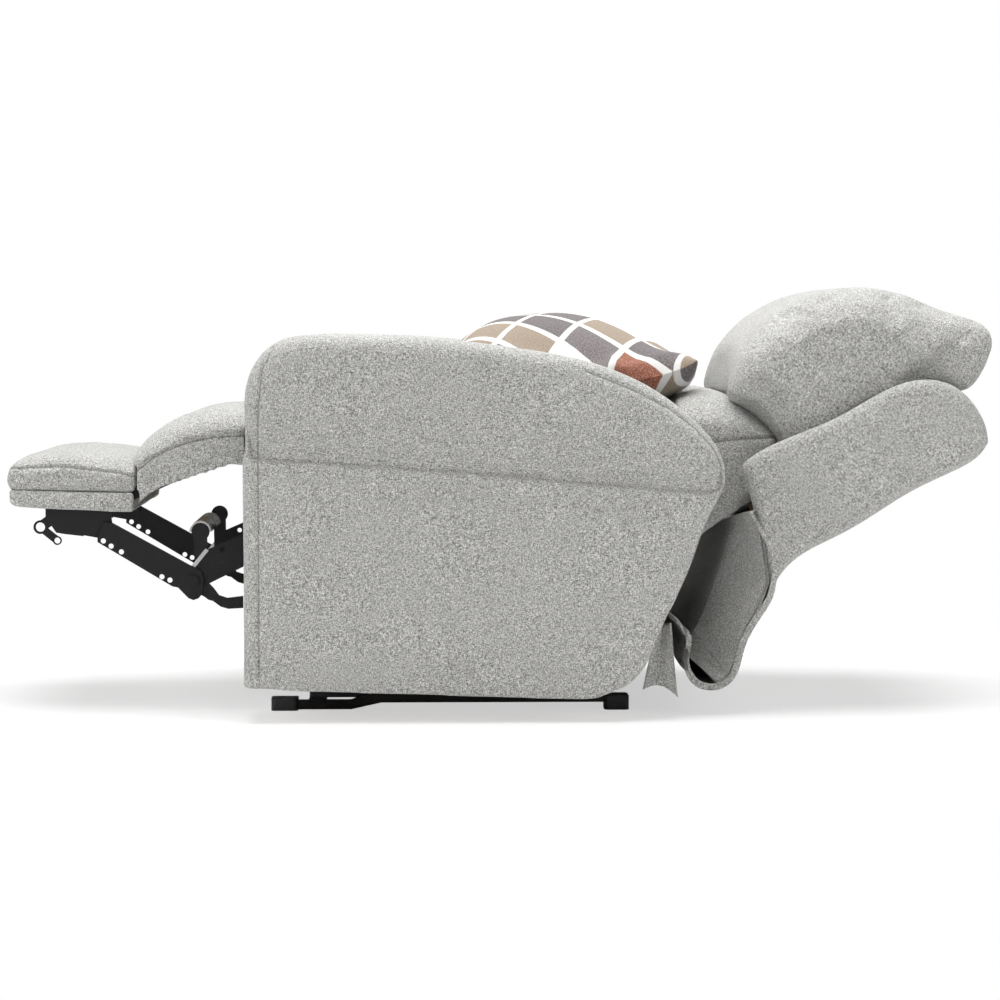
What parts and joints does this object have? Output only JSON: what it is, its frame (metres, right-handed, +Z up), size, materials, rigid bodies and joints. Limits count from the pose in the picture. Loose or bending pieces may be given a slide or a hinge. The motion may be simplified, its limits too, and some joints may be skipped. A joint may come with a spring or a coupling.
{
  "type": "lift recliner chair",
  "caption": "Padded power lift recliner chair with reclining back, fold-out footrest, tilting steel lift base, push-button panel and loose pillow.",
  "frame": {"origin": "on the floor under the middle of the chair's bounding box, in the reclined pose", "axes": "-X towards the footrest (front), -Y towards the sitter's left arm, +Z up"},
  "size_m": [1.7855, 0.914, 0.7671],
  "materials": {
    "frame_steel": "satin black powder coat",
    "bright_steel": "zinc plated, lightly brushed",
    "spring_steel": "plain drawn wire",
    "black_plastic": "moulded, fine grain",
    "button_plastic": "soft-touch moulded",
    "frame_wood": "raw sanded plywood",
    "grey_weave": "heathered pale grey flat weave",
    "print_cloth": "printed cotton, off-white, taupe, plum-grey and rust"
  },
  "bodies": {
    "base": {"base_rail_left": "frame_steel", "base_rail_right": "frame_steel", "base_front_tube": "frame_steel", "base_rear_tube": "frame_steel", "floor_glides": "black_plastic", "base_posts": "frame_steel", "power_supply": "black_plastic"},
    "lift_arms": {"lift_arm_left": "frame_steel", "lift_arm_right": "frame_steel", "lift_cross_tube": "frame_steel"},
    "guide_left": {"guide_link_left": "frame_steel"},
    "guide_right": {"guide_link_right": "frame_steel"},
    "lift_motor_body": {"lift_motor": "black_plastic"},
    "lift_ram_body": {"lift_ram": "bright_steel"},
    "foot_motor_body": {"foot_motor": "black_plastic"},
    "foot_ram_body": {"foot_ram": "bright_steel"},
    "back_motor_body": {"back_motor": "black_plastic"},
    "back_ram_body": {"back_ram": "bright_steel"},
    "chair": {"seat_side_plate_left": "frame_steel", "seat_side_plate_right": "frame_steel", "seat_front_rail": "frame_steel", "seat_rear_rail": "frame_steel", "tail_rail": "frame_steel", "seat_springs": "spring_steel", "seat_cushion": "grey_weave", "arm_mounts": "frame_steel", "arm_frame_left": "frame_wood", "arm_frame_right": "frame_wood", "arm_outer_panel_left": "grey_weave", "arm_outer_panel_right": "grey_weave", "arm_inner_panel_left": "grey_weave", "arm_inner_panel_right": "grey_weave", "arm_front_panel_left": "grey_weave", "arm_front_panel_right": "grey_weave", "arm_pad_left": "grey_weave", "arm_pad_right": "grey_weave", "control_panel": "black_plastic"},
    "button_lift": {"button_lift": "button_plastic"},
    "button_lower": {"button_lower": "button_plastic"},
    "button_recline": {"button_recline": "button_plastic"},
    "button_upright": {"button_upright": "button_plastic"},
    "back": {"back_shell": "grey_weave", "back_frame": "frame_wood", "back_brackets": "frame_steel", "back_torque_tube": "frame_steel", "lumbar_cushion": "grey_weave", "head_cushion": "grey_weave", "back_flap": "grey_weave"},
    "leg_panel": {"leg_arms": "frame_steel", "leg_board": "frame_wood", "chaise_pad": "grey_weave"},
    "ottoman": {"ottoman_pad": "grey_weave", "ottoman_board": "grey_weave", "ottoman_brackets": "frame_steel"},
    "foot_rear": {"foot_link_rear_left": "frame_steel", "foot_link_rear_right": "frame_steel", "foot_cross_channel": "bright_steel", "foot_torque_tube": "frame_steel"},
    "foot_front": {"foot_links_front": "frame_steel"},
    "pillow": {"throw_pillow": "print_cloth"}
  },
  "joints": [
    {"name": "lift", "type": "hinge", "parent": "base", "child": "lift_arms", "pos_m": [0.15, 0, 0.07], "axis": [0, 1, 0], "range_deg": [0, 45]},
    {"name": "seat_tilt", "type": "hinge", "parent": "lift_arms", "child": "chair", "pos_m": [-0.2, 0, 0.085], "axis": [0, -1, 0], "range_deg": [0, 70.1]},
    {"name": "guide_left", "type": "hinge", "parent": "base", "child": "guide_left", "pos_m": [0, 0, 0.09], "axis": [0, 1, 0], "range_deg": [0, 52.8]},
    {"name": "guide_right", "type": "hinge", "parent": "base", "child": "guide_right", "pos_m": [0, 0, 0.09], "axis": [0, 1, 0], "range_deg": [0, 52.8]},
    {"name": "lift_motor_swing", "type": "hinge", "parent": "base", "child": "lift_motor_body", "pos_m": [-0.3, 0, 0.06], "axis": [0, -1, 0], "range_deg": [-0.273, 0]},
    {"name": "lift_ram_slide", "type": "slide", "parent": "lift_motor_body", "child": "lift_ram_body", "axis": [0.9882, 0, 0.1529], "range_m": [0, 0.048]},
    {"name": "footrest", "type": "hinge", "parent": "chair", "child": "leg_panel", "pos_m": [-0.465, 0, 0.485], "axis": [0, -1, 0], "range_deg": [0, 85]},
    {"name": "ottoman_fold", "type": "hinge", "parent": "leg_panel", "child": "ottoman", "pos_m": [-0.652, 0, 0.4], "axis": [0, -1, 0], "range_deg": [0, 5.1]},
    {"name": "foot_link_rear", "type": "hinge", "parent": "chair", "child": "foot_rear", "pos_m": [-0.31, 0, 0.39], "axis": [0, -1, 0], "range_deg": [0, 87.8]},
    {"name": "foot_link_front", "type": "hinge", "parent": "foot_rear", "child": "foot_front", "pos_m": [-0.552, 0, 0.239], "axis": [0, -1, 0], "range_deg": [-86.1, 0]},
    {"name": "foot_motor_swing", "type": "hinge", "parent": "chair", "child": "foot_motor_body", "pos_m": [0.27, 0, 0.33], "axis": [0, -1, 0], "range_deg": [0, 0.376]},
    {"name": "foot_ram_slide", "type": "slide", "parent": "foot_motor_body", "child": "foot_ram_body", "axis": [-0.9984, 0, 0.0569], "range_m": [-0.056, 0]},
    {"name": "recline", "type": "hinge", "parent": "chair", "child": "back", "pos_m": [0.33, 0, 0.4], "axis": [0, -1, 0], "range_deg": [0, 40], "deforming": ["back_flap"]},
    {"name": "back_motor_swing", "type": "hinge", "parent": "chair", "child": "back_motor_body", "pos_m": [-0.27, 0, 0.35], "axis": [0, -1, 0], "range_deg": [0, 0.112]},
    {"name": "back_ram_slide", "type": "slide", "parent": "back_motor_body", "child": "back_ram_body", "axis": [0.9999, 0, -0.0115], "range_m": [0, 0.041]},
    {"name": "pillow_lean", "type": "hinge", "parent": "chair", "child": "pillow", "pos_m": [-0.095, 0, 0.56], "axis": [0, -1, 0], "range_deg": [0, 40.1]},
    {"name": "press_lift", "type": "slide", "parent": "chair", "child": "button_lift", "axis": [0, -1, 0], "range_m": [0, 0.0015], "stiffness_N_per_m": 400, "springref_m": -0.001},
    {"name": "press_lower", "type": "slide", "parent": "chair", "child": "button_lower", "axis": [0, -1, 0], "range_m": [0, 0.0015], "stiffness_N_per_m": 400, "springref_m": -0.001},
    {"name": "press_recline", "type": "slide", "parent": "chair", "child": "button_recline", "axis": [0, -1, 0], "range_m": [0, 0.0015], "stiffness_N_per_m": 400, "springref_m": -0.001},
    {"name": "press_upright", "type": "slide", "parent": "chair", "child": "button_upright", "axis": [0, -1, 0], "range_m": [0, 0.0015], "stiffness_N_per_m": 400, "springref_m": -0.001}
  ],
  "couplings": [
    {"joint": "seat_tilt", "follows": "lift", "ratio": 1.5556},
    {"joint": "guide_left", "follows": "lift", "ratio": 1.1711},
    {"joint": "guide_right", "follows": "lift", "ratio": 1.1711},
    {"joint": "lift_motor_swing", "follows": "lift", "ratio": -0.0060521},
    {"joint": "lift_ram_slide", "follows": "lift", "m_per_rad": 0.060992},
    {"joint": "ottoman_fold", "follows": "footrest", "ratio": 0.058824},
    {"joint": "foot_link_rear", "follows": "footrest", "ratio": 1.0318},
    {"joint": "foot_link_front", "follows": "footrest", "ratio": -1.0118},
    {"joint": "foot_motor_swing", "follows": "footrest", "ratio": 0.0044209},
    {"joint": "foot_ram_slide", "follows": "footrest", "m_per_rad": -0.037222},
    {"joint": "back_motor_swing", "follows": "recline", "ratio": 0.0027751},
    {"joint": "back_ram_slide", "follows": "recline", "m_per_rad": 0.058726},
    {"joint": "pillow_lean", "follows": "recline", "ratio": 1}
  ]
}
